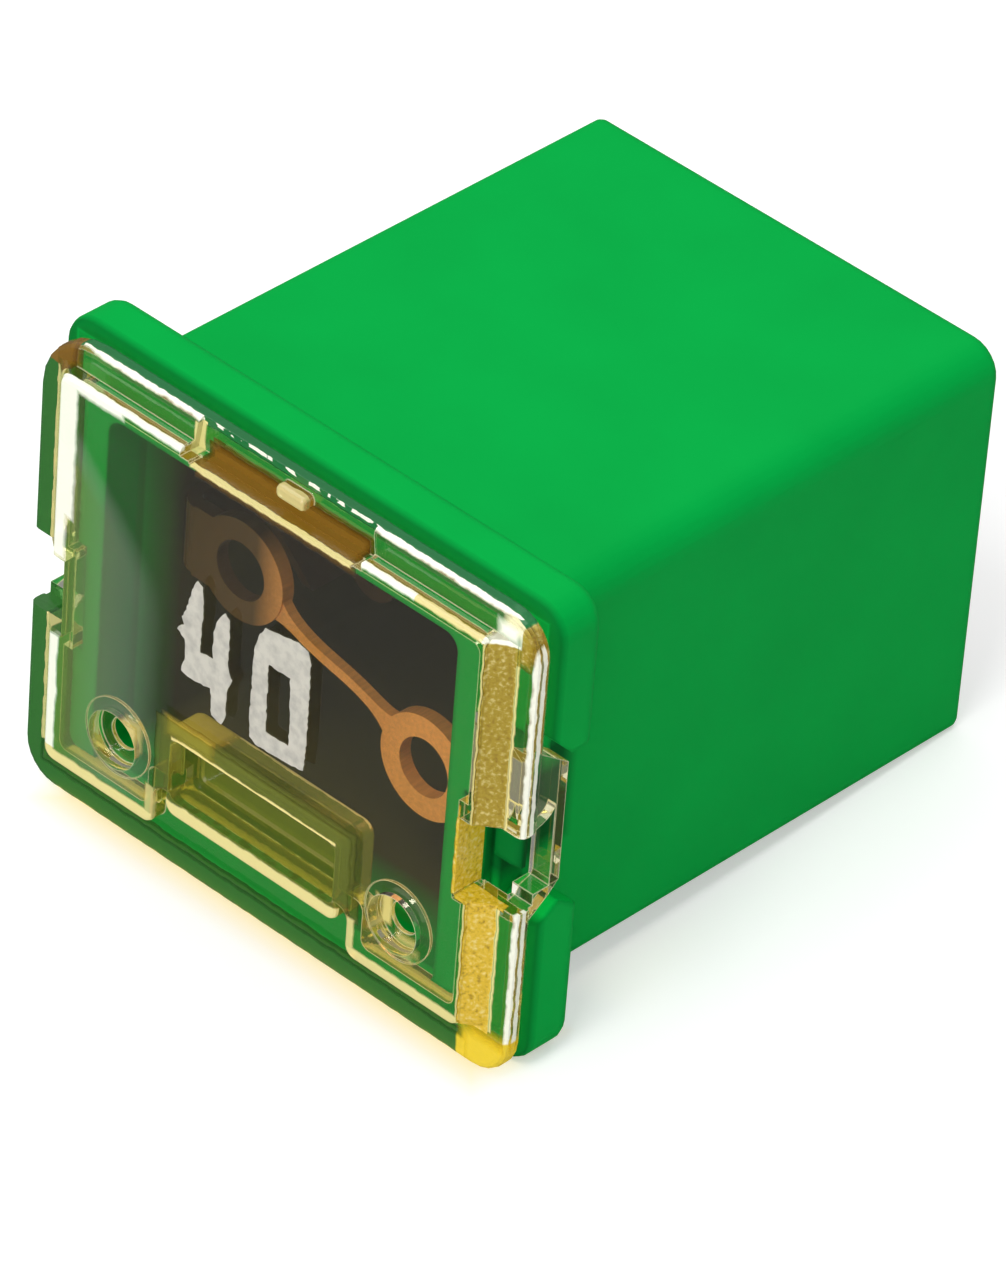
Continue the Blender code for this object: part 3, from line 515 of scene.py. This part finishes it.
def painted_light_bands():
    """Where light and shade are painted on the cover, band by band."""
    # A band has ranges in millimetres along x, y and z, a tone, a strength and a softness
    # A later band lies over an earlier one
    plate = (-0.6, -0.3)
    slope = (-0.5, 0.05)
    rim = (-0.2, 0.6)
    well = (-0.5, 1.2)
    border = (-BORDER_SIDE, BORDER_SIDE)
    height = (-BORDER_TOP, BORDER_TOP)
    left = -WINDOW_SIDE - 0.1
    bottom = WINDOW_BOTTOM - 0.1
    return [
        # Painted light gives the pocket's thick walls a mossy colour
        (
            (-POCKET_SIDE - 0.5, POCKET_SIDE + 0.5), (-0.6, POCKET_BACK + 0.2),
            (SILL_BOTTOM, POCKET_TOP + 0.5), "moss", 0.24, 0.1,
        ),
        # Painted reflections of the housing in the border's rim, and painted shade of the seam on its top
        ((-BORDER_SIDE - 0.2, WINDOW_SIDE), rim, near(-BORDER_TOP, 0.4, 0.68), "green", 0.9, 0.14),
        (near(-BORDER_SIDE, 0.4, 0.68), rim, height, "green", 0.9, 0.14),
        (border, (0.08, 0.8), near(BORDER_TOP, 0.2, 0.4), "shade", 0.85, 0.05),
        # Painted highlights inside the window's outline, over its solid walls
        ((left, left + 0.74), plate, (1.8, WINDOW_TOP + 0.1), "light", 0.85, 0.12),
        ((left, left + 0.54), plate, (LATCH_TOP, 3.0), "light", 0.85, 0.14),
        ((left, left + 0.45), plate, (bottom, LATCH_BOTTOM), "light", 0.85, 0.08),
        ((left, -BITE_SIDE), plate, (bottom, WINDOW_BOTTOM + 0.38), "cream", 0.85, 0.08),
        ((BITE_SIDE, WINDOW_SIDE), plate, (bottom, WINDOW_BOTTOM + 0.36), "cream", 0.8, 0.08),
        (near(BITE_SIDE, 0.05, 0.3), plate, (WINDOW_BOTTOM, SILL_BOTTOM + 0.5), "cream", 0.7, 0.08),
        (near(-BITE_SIDE, 0.3, 0.05), plate, (WINDOW_BOTTOM, SILL_BOTTOM + 0.5), "cream", 0.5, 0.08),
        ((-4.8, -RECESS_SIDE - 0.1), plate, near(WINDOW_TOP, 0.16, 0.4), "light", 0.85, 0.07),
        ((left, -4.5), plate, near(WINDOW_TOP, 0.32, 0.4), "light", 0.9, 0.14),
        ((RECESS_SIDE + 0.1, WINDOW_SIDE), plate, near(WINDOW_TOP, 0.14, 0.4), "cream", 0.8, 0.06),
        ((RECESS_SIDE + 0.1, 4.4), plate, near(WINDOW_TOP, 0.16, 0.4), "light", 0.85, 0.07),
        ((-RECESS_SIDE, RECESS_SIDE), plate, near(RECESS_TOP, 0.1, 0.1), "cream", 0.85, 0.05),
        ((WINDOW_SIDE - 0.12, WINDOW_SIDE - 0.04), plate, (WINDOW_BOTTOM, WINDOW_TOP), "cream", 0.6, 0.03),
        # Painted light on the textured slopes at the window's sides, with a bright foot
        ((WINDOW_SIDE - 0.06, SLOPE_SIDE + 0.04), slope, (LATCH_TOP, WINDOW_TOP), "amber", 0.9, 0.04),
        ((WINDOW_SIDE - 0.06, SLOPE_SIDE + 0.04), slope, (bottom, LATCH_BOTTOM), "gold", 0.95, 0.04),
        ((-SLOPE_SIDE, -WINDOW_SIDE), slope, (WINDOW_BOTTOM, WINDOW_TOP), "cream", 0.6, 0.05),
        ((SLOPE_SIDE, SLOPE_SIDE + 0.12), (-0.2, 0.1), (WINDOW_BOTTOM, WINDOW_TOP), "cream", 0.8, 0.05),
        # A painted highlight on the border's front along the top
        ((-BORDER_SIDE + 1.1, BORDER_SIDE), (-0.2, 0.16), near(BORDER_TOP, 0.1, 0.4), "light", 0.92, 0.05),
        # Painted light at the window's upper right corner, bright beside amber
        ((7.0, 7.6), (-0.2, 0.5), (5.0, 6.05), "amber", 0.8, 0.25),
        ((6.4, 7.2), (-0.5, 0.5), (5.45, 6.05), "light", 0.9, 0.22),
        # Painted highlights on the outer faces of the border
        (near(BORDER_SIDE, 0.12, 0.1), (-0.1, 0.15), height, "light", 0.9, 0.05),
        (near(BORDER_SIDE, 0.12, 0.1), (0.2, 0.34), height, "light", 0.85, 0.04),
        (border, rim, near(-BORDER_TOP, 0.3, 0.1), "cream", 0.75, 0.05),
        # Painted light on a thick yellow corner at the lower right, and painted shade on a dark one at the
        # upper left
        (
            (WINDOW_SIDE - 0.4, BORDER_SIDE + 0.5), (-0.5, 0.8),
            near(-BORDER_TOP, 0.5, 1.15), "yellow", 0.9, 0.4,
        ),
        ((-BORDER_SIDE - 0.2, -WINDOW_SIDE + 0.1), rim, near(BORDER_TOP, 0.9, 0.2), "brown", 0.75, 0.2),
        # The recess: painted shade, amber under the border, with painted highlights at its ends
        ((-RECESS_SIDE, RECESS_SIDE), (-0.3, 0.5), near(RECESS_TOP, 0.4, 0.4), "brown", 0.75, 0.22),
        (
            (-RECESS_SIDE - 0.32, -RECESS_SIDE - 0.08), (-0.1, 0.2),
            (RECESS_TOP, BORDER_TOP - 0.1), "cream", 0.7, 0.05,
        ),
        # Painted highlights on the sill's front and the edges of the pocket
        (
            (-POCKET_SIDE - 0.2, POCKET_SIDE + 0.2), plate,
            (SILL_BOTTOM - 0.05, POCKET_BOTTOM - 0.03), "cream", 0.85, 0.05,
        ),
        ((-POCKET_SIDE, POCKET_SIDE), plate, near(POCKET_TOP, 0.05, 0.08), "cream", 0.8, 0.04),
        (
            (-POCKET_SIDE - 0.3, POCKET_SIDE + 0.3), near(POCKET_BACK, 0.14, 0.1),
            (POCKET_TOP + 0.1, POCKET_TOP + 0.4), "cream", 0.8, 0.05,
        ),
        (
            (-POCKET_SIDE - 0.4, -1.35), (-0.1, POCKET_BACK + 0.05),
            near(POCKET_TOP, 0.2, 0.5), "olive", 0.85, 0.25,
        ),
        # Painted light on the latch openings
        (near(LATCH_SIDE, 0.1, 0.1), (-0.5, 0.5), (LATCH_BOTTOM, LATCH_TOP), "gold", 0.9, 0.05),
        ((LATCH_SIDE, SLOPE_SIDE + 0.2), (-0.5, 0.2), near(LATCH_BOTTOM, 0.1, 0.05), "gold", 0.9, 0.05),
        # Painted light on the walls of the test-probe wells
        ((-WELL_X + 0.15, -WELL_X + 0.8), well, near(WELL_Z, 0.1, 0.8), "cream", 0.5, 0.15),
        ((WELL_X - 0.75, WELL_X - 0.35), well, near(WELL_Z, 0.5, 0.5), "cream", 0.5, 0.12),
        ((WELL_X - 0.3, WELL_X + 0.75), well, (WELL_Z - 0.8, WELL_Z - 0.4), "cream", 0.35, 0.2),
        # A painted highlight on the trimmed gate
        ((-0.2, 0.8), (-0.3, 0.05), (RECESS_TOP + 0.2, RECESS_TOP + 0.75), "cream", 0.6, 0.1),
    ]


def side_light_patch(tree, place):
    """The window's left side, with light painted below a slanting line, and clear further in."""
    axes = add_node(tree, AXES, (place,)).outputs
    slant = add_node(tree, VECTOR_MATH, (place, SIDE_LIGHT_DIRECTION), operation="DOT_PRODUCT")
    below = add_node(tree, MAP_RANGE, (slant, SIDE_LIGHT_START, SIDE_LIGHT_FULL))
    inward = add_node(tree, MAP_RANGE, (axes["X"], SIDE_LIGHT_RIGHT, SIDE_LIGHT_LEFT))
    front = add_node(tree, MATH, (axes["Y"], SIDE_LIGHT_BACK), operation="LESS_THAN")
    side = add_node(tree, MATH, (below, inward), operation="MULTIPLY")
    return add_node(tree, MATH, (side, front), operation="MULTIPLY")


def wandering(tree, place):
    """The same place moved by a few hundredths of a millimetre, so that no band is straight."""
    drift = add_node(tree, NOISE, {"Vector": place, "Scale": 2.5, "Detail": 2.0}).outputs["Color"]
    moved = add_node(tree, VECTOR_MATH, (drift, (BAND_WANDER,) * 3, place), operation="MULTIPLY_ADD")
    return add_node(tree, VECTOR_MATH, (moved, (BAND_WANDER / 2,) * 3), operation="SUBTRACT")


def edge_tones(tree, grain, looks):
    """Colours of the bands; amber and gold get painted highlights on the grain's tips and painted shade in
    its pits.
    """
    colours = {tone: linear(getattr(looks, f"edge_{tone}_colour")) for tone in TONES}
    high = add_node(tree, MAP_RANGE, (grain, 0.52, 0.8))
    tips = add_node(tree, MATH, (high, 0.8), operation="MULTIPLY")
    low = add_node(tree, MAP_RANGE, (grain, 0.46, 0.26))
    pits = add_node(tree, MATH, (low, 0.6), operation="MULTIPLY")
    for tone in ("amber", "gold"):
        dark = {SHARE: pits, FIRST: colours[tone], SECOND: colours["brown"]}
        pale = {SHARE: tips, FIRST: add_node(tree, MIX, dark, data_type="RGBA"), SECOND: colours["cream"]}
        colours[tone] = add_node(tree, MIX, pale, data_type="RGBA")
    return colours


def painted_cover_light(tree, place, grain, looks):
    """Colour and strength of the light and shade painted on the cover."""
    colours = edge_tones(tree, grain, looks)
    moved = wandering(tree, place)
    # Every sharp edge gets a thin painted highlight
    sharp = sharp_edges(tree, EDGE_LINE_WIDTH)
    edge = add_node(tree, MATH, (sharp, EDGE_LINE_STRENGTH), operation="MULTIPLY")
    pale = {SHARE: edge, FIRST: WHITE, SECOND: colours["cream"]}
    # A patch of light painted on the window's left side
    brightened = side_light_patch(tree, moved)
    side_light_mix = {
        SHARE: brightened,
        FIRST: add_node(tree, MIX, pale, data_type="RGBA"),
        SECOND: linear(looks.side_light_colour),
    }
    colour = add_node(tree, MIX, side_light_mix, data_type="RGBA")
    side_light_strength = add_node(tree, MATH, (brightened, looks.side_light_share), operation="MULTIPLY")
    painted_share = add_node(tree, MATH, (edge, side_light_strength), operation="MAXIMUM")
    for x_range, y_range, z_range, tone, strength, soft in painted_light_bands():
        lit = inside_box(tree, moved, (x_range, y_range, z_range), (soft, BAND_DEPTH_SOFTNESS, soft))
        share = add_node(tree, MATH, (lit, BAND_COLOUR_SWITCH), operation="MULTIPLY", use_clamp=True)
        band = {SHARE: share, FIRST: colour, SECOND: colours[tone]}
        colour = add_node(tree, MIX, band, data_type="RGBA")
        light = add_node(tree, MATH, (lit, strength), operation="MULTIPLY")
        painted_share = add_node(tree, MATH, (painted_share, light), operation="MAXIMUM")
    return colour, painted_share


def clear_polysulfone(looks):
    """Polysulfone, injection moulded: clear and polished, with light and shade painted along its edges."""
    material, tree, shader = new_material("clear_polysulfone_amber")
    place = own_millimetres(tree)
    grain = add_node(tree, NOISE, {"Vector": place, "Scale": 10.0, "Detail": 3.0})
    colour, painted_share = painted_cover_light(tree, place, grain, looks)
    # Clear faces are polished, and the bands have the mould's texture
    height = add_node(tree, MATH, (painted_share, 0.5), operation="MULTIPLY")
    texture = {"Height": grain, "Strength": height, "Distance": 0.03 * MM}
    # The painted bands glow and hide what lies behind them
    finish = {
        "Base Color": colour,
        "Emission Color": colour,
        "Emission Strength": add_node(tree, MATH, (painted_share, BAND_GLOW), operation="MULTIPLY"),
        "Transmission Weight": add_node(tree, MATH, (1.0, painted_share), operation="SUBTRACT"),
        "Roughness": add_node(tree, MAP_RANGE, (painted_share, 0.6, 1.0, 0.02, 0.35)),
        "Normal": add_node(tree, "ShaderNodeBump", texture),
        "IOR": 1.63,
    }
    set_inputs(tree, shader, finish)
    # Rays that have crossed the plastic many times end in a painted golden glow
    kind = add_node(tree, "ShaderNodeLightPath").outputs
    deep = add_node(tree, MATH, (kind["Ray Depth"], DEEP_BOUNCES), operation="GREATER_THAN")
    mirrored = add_node(tree, MATH, (kind["Glossy Depth"], DEEP_REFLECTIONS), operation="GREATER_THAN")
    trapped = add_node(tree, MATH, (deep, mirrored), operation="MAXIMUM")
    gold = add_node(tree, "ShaderNodeEmission", {"Color": linear(looks.edge_glow_colour), "Strength": 0.8})
    solid = add_node(tree, MIX_SHADER, (trapped, shader, gold))
    # Lamps reach what the cover covers, so the strip behind it isn't left in its shadow
    passing = add_node(tree, MATH, (kind["Is Shadow Ray"], kind["Is Diffuse Ray"]), operation="MAXIMUM")
    tint = add_node(tree, "ShaderNodeBsdfTransparent", {"Color": (0.98, 0.96, 0.88, 1.0)})
    # The plastic itself is faintly amber, which shows where it is thick
    amber = {"Color": (0.95, 0.86, 0.25, 1.0), "Density": 420.0}
    output = {
        "Surface": add_node(tree, MIX_SHADER, (passing, solid, tint)),
        "Volume": add_node(tree, "ShaderNodeVolumeAbsorption", amber),
    }
    set_inputs(tree, tree.nodes["Material Output"], output)
    return material


def rolled_copper_alloy(looks):
    """Copper alloy strip, rolled and stamped: warm metal with fine rolling lines."""
    material, tree, shader = new_material("rolled_copper_alloy")
    place = own_millimetres(tree)
    # Rolling lines less than 0.1 mm apart, long along Y
    stretch = add_node(tree, "ShaderNodeMapping", {"Vector": place, "Scale": (14.0, 1.2, 14.0)})
    lines = add_node(tree, NOISE, {"Vector": stretch, "Scale": 1.0, "Detail": 3.0})
    metal = linear(looks.metal_colour)
    colour = add_node(tree, COLOUR_RAMP, (lines,))
    set_ramp(colour, [(0.3, toned(metal, 0.8)), (0.7, metal)])
    # Shade is painted on the left end, up to where the link leaves its eye
    across = add_node(tree, AXES, (place,)).outputs["X"]
    bright = add_node(tree, MAP_RANGE, (across, STRIP_SHADE_FULL, STRIP_SHADE_END))
    tinted = {SHARE: bright, FIRST: linear(looks.strip_shade_colour), SECOND: colour}
    texture = {"Height": lines, "Strength": 0.2, "Distance": 0.01 * MM}
    finish = {
        "Base Color": add_node(tree, MIX, tinted, data_type="RGBA"),
        "Normal": add_node(tree, "ShaderNodeBump", texture),
        "Metallic": 0.4,
        "Roughness": 0.4,
    }
    set_inputs(tree, shader, finish)
    return material


def pad_printed_ink(looks):
    """Pad-printed ink: matt and thin, with a mottled face."""
    material, tree, shader = new_material("pad_printed_ink")
    place = own_millimetres(tree)
    mottle = add_node(tree, NOISE, {"Vector": place, "Scale": 4.0, "Detail": 4.0})
    ink = linear(looks.print_colour)
    colour = add_node(tree, COLOUR_RAMP, (mottle,))
    set_ramp(colour, [(0.3, toned(ink, 0.78)), (0.6, ink)])
    set_inputs(tree, shader, {"Base Color": colour, "Roughness": 0.6})
    # The film is thin, so its back is lit through it
    through = add_node(tree, "ShaderNodeBsdfTranslucent", {"Color": colour})
    film = add_node(tree, MIX_SHADER, (0.35, shader, through))
    set_inputs(tree, tree.nodes["Material Output"], {"Surface": film})
    return material


def ragged(loop, spacing, jitter, chance):
    """A closed outline with points every so often, each a little off its line."""
    points = []
    for index, start in enumerate(loop):
        end = loop[(index + 1) % len(loop)]
        steps = max(1, int((end - start).length / spacing))
        for step in range(steps):
            aside = Vector((chance.uniform(-jitter, jitter), 0.0, chance.uniform(-jitter, jitter)))
            points.append(start.lerp(end, step / steps) + aside)
    return points


class FUSE_OT_housing(bpy.types.Operator):
    """Give the moulded housing its plastic"""

    bl_idname = "fuse.housing"
    bl_label = "Housing"

    def execute(self, context):
        dress_node("housing", moulded_polyamide(context.scene.fuse_looks))
        return {"FINISHED"}


class FUSE_OT_cover(bpy.types.Operator):
    """Give the clear cover its plastic"""

    bl_idname = "fuse.cover"
    bl_label = "Cover"

    def execute(self, context):
        dress_node("cover", clear_polysulfone(context.scene.fuse_looks))
        return {"FINISHED"}


class FUSE_OT_element(bpy.types.Operator):
    """Give the stamped strip its metal"""

    bl_idname = "fuse.element"
    bl_label = "Fuse Element"

    def execute(self, context):
        dress_node("fuse_element", rolled_copper_alloy(context.scene.fuse_looks))
        return {"FINISHED"}


class FUSE_OT_rating(bpy.types.Operator):
    """Print the rating on the window"""

    bl_idname = "fuse.rating"
    bl_label = "Rating Print"

    def execute(self, context):
        looks = context.scene.fuse_looks
        chance = random.Random(PRINT_SEED)
        ink = pad_printed_ink(looks)
        front = WINDOW_FRONT - looks.print_thickness
        for name, loops in (
            ("rating_digit_four", [DIGIT_FOUR]),
            ("rating_digit_nought", [DIGIT_NOUGHT, DIGIT_NOUGHT_HOLE]),
        ):
            bm = bmesh.new()
            for loop in loops:
                corners = [Vector((x * MM, front, z * MM)) for x, z in loop]
                verts = [bm.verts.new(p) for p in ragged(corners, PRINT_STEP, PRINT_RAGGEDNESS, chance)]
                for near_vert, far_vert in zip(verts, verts[1:] + verts[:1]):
                    bm.edges.new((near_vert, far_vert))
            bmesh.ops.triangle_fill(bm, edges=bm.edges[:], use_beauty=True, normal=(0, -1, 0))
            if not bm.faces:
                raise RuntimeError(f"{name} made no faces")
            piece = new_piece(name, bm, ink)
            film = piece.modifiers.new("Film", "SOLIDIFY")
            film.thickness = looks.print_thickness * PRINT_FILM_SHARE
            film.offset = 0.0
        return {"FINISHED"}


class FUSE_OT_stage(bpy.types.Operator):
    """Set the floor, the lamps, the world and the camera"""

    bl_idname = "fuse.stage"
    bl_label = "Stage"

    def execute(self, context):
        looks = context.scene.fuse_looks
        self.make_floor(looks)
        self.make_world(context.scene)
        for name, place, size, power in LAMPS:
            self.make_lamp(name, place, size, getattr(looks, power))
        self.make_camera(context.scene)
        context.scene.view_settings.view_transform = "Standard"
        return {"FINISHED"}

    def make_floor(self, looks):
        """A wide white card under the fuse."""
        bm = bmesh.new()
        bmesh.ops.create_grid(bm, x_segments=1, y_segments=1, size=FLOOR_HALF_SIZE)
        mesh = bpy.data.meshes.new("floor")
        bm.to_mesh(mesh)
        bm.free()
        floor = bpy.data.objects.new("floor", mesh)
        bpy.context.scene.collection.objects.link(floor)
        mesh.materials.append(self.studio_card(looks))

    def studio_card(self, looks):
        """White card: matt, bright to the camera and dim in the window's reflections."""
        material, tree, shader = new_material("white_studio_card")
        kind = add_node(tree, "ShaderNodeLightPath").outputs
        dim = {SHARE: kind["Is Glossy Ray"], FIRST: FLOOR_WHITE, SECOND: FLOOR_MIRRORED}
        plain = add_node(tree, MIX, dim, data_type="RGBA")
        direct = {SHARE: kind["Is Camera Ray"], FIRST: plain, SECOND: FLOOR_SEEN}
        plain = add_node(tree, MIX, direct, data_type="RGBA")
        # A painted pool of amber light, for light that has crossed the cover, lies in front of its lower
        # edge
        fringe = linear(looks.fringe_colour)
        lit = add_node(tree, MATH, (self.under_cover(tree), looks.fringe_share), operation="MULTIPLY")
        tinted = add_node(tree, MIX, {SHARE: lit, FIRST: plain, SECOND: fringe}, data_type="RGBA")
        set_inputs(tree, shader, {"Base Color": tinted, "Roughness": 0.9, "Specular IOR Level": 0.0})
        # The card is lifted to white for the camera, and less for what is seen through the cover
        views = (kind["Is Camera Ray"], kind["Is Transmission Ray"])
        seen = add_node(tree, MATH, views, operation="MAXIMUM")
        through = add_node(tree, MATH, (seen, FLOOR_LIFT_SEEN), operation="MULTIPLY")
        direct = add_node(tree, MATH, (kind["Is Camera Ray"], FLOOR_LIFT_CAMERA), operation="MULTIPLY")
        lift = add_node(tree, MATH, (direct, through), operation="ADD")
        tone = add_node(tree, MIX, {SHARE: lit, FIRST: WHITE, SECOND: fringe}, data_type="RGBA")
        glow = add_node(tree, "ShaderNodeEmission", {"Color": tone, "Strength": lift})
        both = add_node(tree, "ShaderNodeAddShader", (shader, glow))
        set_inputs(tree, tree.nodes["Material Output"], {"Surface": both})
        return material

    def under_cover(self, tree):
        """A soft strip of the floor just in front of the cover, where the amber light is painted."""
        low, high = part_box("cover")
        across = (low[0] + 0.6 * MM, high[0] - 0.2 * MM)
        along = (low[1] - 0.4 * MM, low[1] + 3 * MM)
        place = add_node(tree, "ShaderNodeTexCoord").outputs["Object"]
        return inside_box(tree, place, (across, along, (-1.0, 1.0)), FRINGE_SOFTNESS)

    def make_world(self, scene):
        """A white surround that lights less than it shows."""
        world = bpy.data.worlds.new("white_surround")
        scene.world = world
        world.use_nodes = True
        tree = world.node_tree
        kind = add_node(tree, "ShaderNodeLightPath").outputs
        views = (kind["Is Camera Ray"], kind["Is Transmission Ray"])
        seen = add_node(tree, MATH, views, operation="MAXIMUM")
        strength = add_node(tree, MAP_RANGE, (seen, 0.0, 1.0, WORLD_LIGHT, 1.0))
        set_inputs(tree, tree.nodes["Background"], {"Color": WHITE, "Strength": strength})

    def make_lamp(self, name, place, size, power):
        """A square softbox that faces the fuse."""
        data = bpy.data.lights.new(name, "AREA")
        data.shape = "SQUARE"
        data.size = size
        data.energy = power
        lamp = bpy.data.objects.new(name, data)
        lamp.location = place
        lamp.rotation_euler = (-place).to_track_quat("-Z", "Y").to_euler()
        bpy.context.scene.collection.objects.link(lamp)

    def make_camera(self, scene):
        """The photograph's camera, placed round the fuse as it lies."""
        back = -CAMERA_FORWARD.normalized()
        right = CAMERA_RIGHT.normalized()
        up = back.cross(right).normalized()
        turn = Matrix((right, up, back)).transposed().to_4x4()
        data = bpy.data.cameras.new("product_camera")
        data.sensor_fit = "VERTICAL"
        data.sensor_height = SENSOR_SIZE
        data.sensor_width = SENSOR_SIZE
        data.lens = SENSOR_SIZE * CAMERA_FOCAL_PX / PICTURE_HEIGHT
        data.clip_start = CAMERA_NEAR
        data.clip_end = CAMERA_FAR
        camera = bpy.data.objects.new("product_camera", data)
        camera.matrix_world = LIE @ Matrix.Translation(CAMERA_PLACE) @ turn
        scene.collection.objects.link(camera)
        scene.camera = camera


class FUSE_PT_looks(bpy.types.Panel):
    """Lists the steps that dress the fuse"""

    bl_idname = "FUSE_PT_looks"
    bl_label = "Cartridge Fuse"
    bl_space_type = "VIEW_3D"
    bl_region_type = "UI"
    bl_category = "Fuse"

    def draw(self, context):
        looks = context.scene.fuse_looks
        for name in looks.bl_rna.properties.keys():
            if name not in {"rna_type", "name"}:
                self.layout.prop(looks, name)
        for step in STEPS:
            self.layout.operator(step.bl_idname)


STEPS = (FUSE_OT_housing, FUSE_OT_cover, FUSE_OT_element, FUSE_OT_rating, FUSE_OT_stage)
CLASSES = (FuseLooks, *STEPS, FUSE_PT_looks)


def register():
    for cls in CLASSES:
        bpy.utils.register_class(cls)
    bpy.types.Scene.fuse_looks = bpy.props.PointerProperty(type=FuseLooks)


def unregister():
    del bpy.types.Scene.fuse_looks
    for cls in reversed(CLASSES):
        bpy.utils.unregister_class(cls)


def main():
    register()
    bpy.ops.fuse.housing()
    bpy.ops.fuse.cover()
    bpy.ops.fuse.element()
    bpy.ops.fuse.rating()
    bpy.ops.fuse.stage()
    bpy.context.view_layer.update()


if __name__ == "__main__":
    main()
